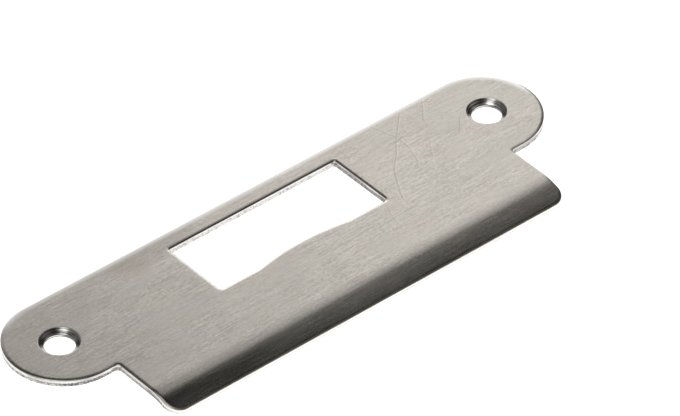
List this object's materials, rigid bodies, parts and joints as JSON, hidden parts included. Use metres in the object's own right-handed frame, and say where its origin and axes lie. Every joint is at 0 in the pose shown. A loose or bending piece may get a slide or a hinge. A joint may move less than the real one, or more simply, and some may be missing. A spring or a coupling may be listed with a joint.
{
  "type": "door strike plate",
  "caption": "Flat stamped steel strike plate with rounded ends, countersunk screw holes, a rectangular latch opening and a lip that slopes back along one side.",
  "frame": {"origin": "on the back face, midway between the centres of the two screw holes", "axes": "+X along the plate through both screw holes, +Y towards the long straight side away from the lip, +Z out of the face that shows"},
  "size_m": [0.127, 0.0405, 0.0031],
  "materials": {
    "brushed_stainless": "fine lengthwise brushed stainless steel with light handling scratches, polished countersinks and bright sheared edges"
  },
  "bodies": {
    "root": {"strike_plate": "brushed_stainless"}
  },
  "joints": []
}
